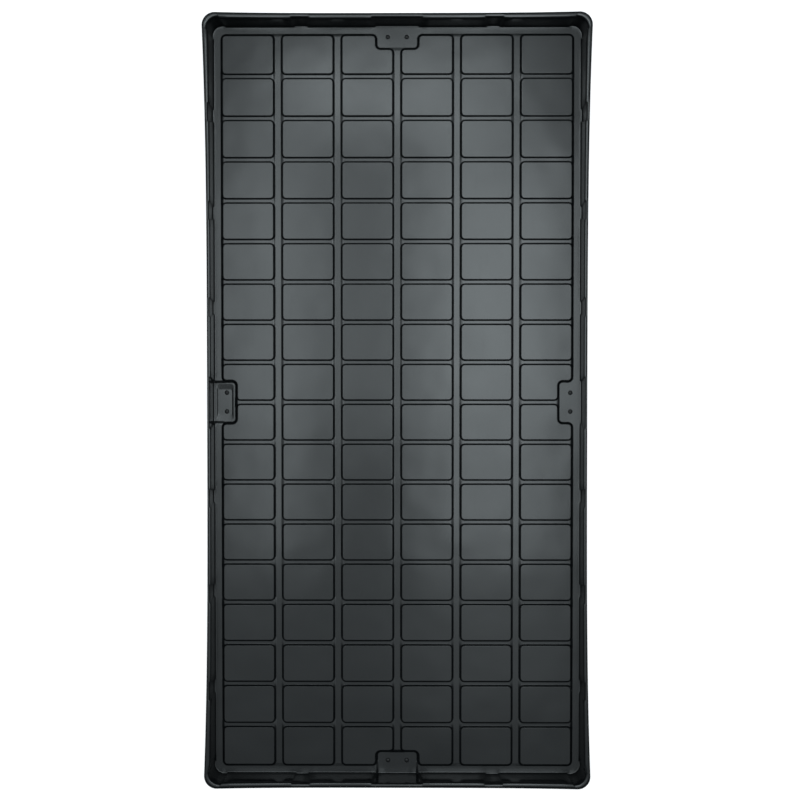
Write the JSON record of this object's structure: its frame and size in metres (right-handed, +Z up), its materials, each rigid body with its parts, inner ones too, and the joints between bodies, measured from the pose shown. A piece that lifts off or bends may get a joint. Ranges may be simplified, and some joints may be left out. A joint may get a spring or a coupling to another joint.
{
  "type": "flood tray",
  "caption": "Shallow rectangular formed plastic flood tray with a floor of raised pads and drain channels, flat lip, recessed side walls and small push-in blanking plugs in side fitting tabs.",
  "frame": {"origin": "on the plane of the sumps' underside, below the middle of the tray", "axes": "+X across the tray, away from the sunk tab on the long side; +Y along the tray, away from the sunk tab on the short side; +Z up, out of the open top"},
  "size_m": [0.61, 1.22, 0.0508],
  "materials": {
    "formed_plastic": "satin black thermoformed ABS sheet with a fine grain",
    "plug_rubber": "smooth dark rubber"
  },
  "bodies": {
    "tray": {"tray": "formed_plastic"},
    "plug_right_near": {"plug_right_near": "plug_rubber"},
    "plug_right_far": {"plug_right_far": "plug_rubber"},
    "plug_far_left": {"plug_far_left": "plug_rubber"},
    "plug_far_right": {"plug_far_right": "plug_rubber"},
    "plug_left_near": {"plug_left_near": "plug_rubber"},
    "plug_left_far": {"plug_left_far": "plug_rubber"},
    "plug_near_left": {"plug_near_left": "plug_rubber"},
    "plug_near_right": {"plug_near_right": "plug_rubber"}
  },
  "joints": [
    {"name": "pull_right_near", "type": "slide", "parent": "tray", "child": "plug_right_near", "axis": [0, 0, 1], "range_m": [0, 0.06]},
    {"name": "pull_right_far", "type": "slide", "parent": "tray", "child": "plug_right_far", "axis": [0, 0, 1], "range_m": [0, 0.06]},
    {"name": "pull_far_left", "type": "slide", "parent": "tray", "child": "plug_far_left", "axis": [0, 0, 1], "range_m": [0, 0.06]},
    {"name": "pull_far_right", "type": "slide", "parent": "tray", "child": "plug_far_right", "axis": [0, 0, 1], "range_m": [0, 0.06]},
    {"name": "pull_left_near", "type": "slide", "parent": "tray", "child": "plug_left_near", "axis": [0, 0, 1], "range_m": [0, 0.06]},
    {"name": "pull_left_far", "type": "slide", "parent": "tray", "child": "plug_left_far", "axis": [0, 0, 1], "range_m": [0, 0.06]},
    {"name": "pull_near_left", "type": "slide", "parent": "tray", "child": "plug_near_left", "axis": [0, 0, 1], "range_m": [0, 0.06]},
    {"name": "pull_near_right", "type": "slide", "parent": "tray", "child": "plug_near_right", "axis": [0, 0, 1], "range_m": [0, 0.06]}
  ]
}
